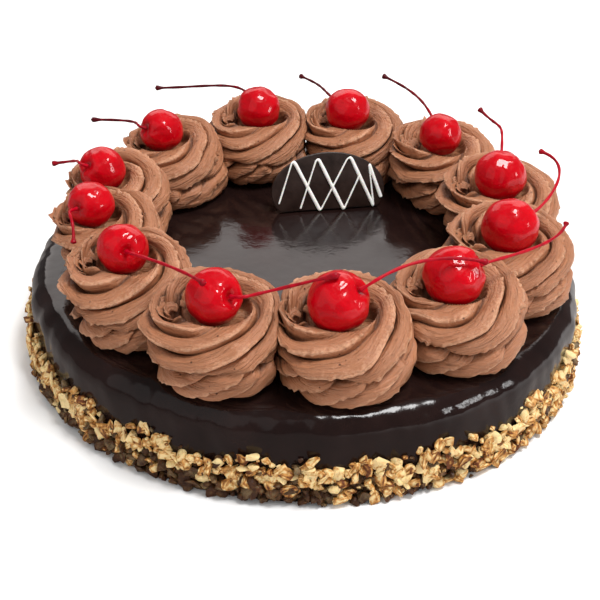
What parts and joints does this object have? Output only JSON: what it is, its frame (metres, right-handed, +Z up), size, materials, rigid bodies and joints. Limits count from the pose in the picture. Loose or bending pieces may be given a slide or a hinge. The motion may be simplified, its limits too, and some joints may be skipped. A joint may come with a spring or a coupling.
{
  "type": "chocolate cheesecake",
  "caption": "Round glazed chocolate cheesecake with chopped nuts round its foot, a ring of piped rosettes topped with stemmed cherries, and an upright oval chocolate plaque.",
  "frame": {"origin": "centre of the cake's flat underside", "axes": "+Z up, front of the cake towards -Y"},
  "size_m": [0.2372, 0.2376, 0.0837],
  "materials": {
    "glaze": "glossy dark chocolate glaze",
    "nuts": "chopped roasted nuts",
    "cream": "piped chocolate cream, satin",
    "cherry": "glossy candied cherry",
    "stem": "smooth red-brown stem",
    "plaque": "dark chocolate, satin",
    "drizzle": "white chocolate"
  },
  "bodies": {
    "root": {"cake": "glaze", "rosette_01": "cream", "rosette_02": "cream", "rosette_03": "cream", "rosette_04": "cream", "rosette_05": "cream", "rosette_06": "cream", "rosette_07": "cream", "rosette_08": "cream", "rosette_09": "cream", "rosette_10": "cream", "rosette_11": "cream", "rosette_12": "cream", "cherry_01": "cherry", "cherry_02": "cherry", "cherry_03": "cherry", "cherry_04": "cherry", "cherry_05": "cherry", "cherry_06": "cherry", "cherry_07": "cherry", "cherry_08": "cherry", "cherry_09": "cherry", "cherry_10": "cherry", "cherry_11": "cherry", "cherry_12": "cherry", "stem_01": "stem", "stem_02": "stem", "stem_03": "stem", "stem_04": "stem", "stem_05": "stem", "stem_06": "stem", "stem_07": "stem", "stem_08": "stem", "stem_09": "stem", "stem_10": "stem", "stem_11": "stem", "stem_12": "stem", "plaque": "plaque"}
  },
  "joints": []
}
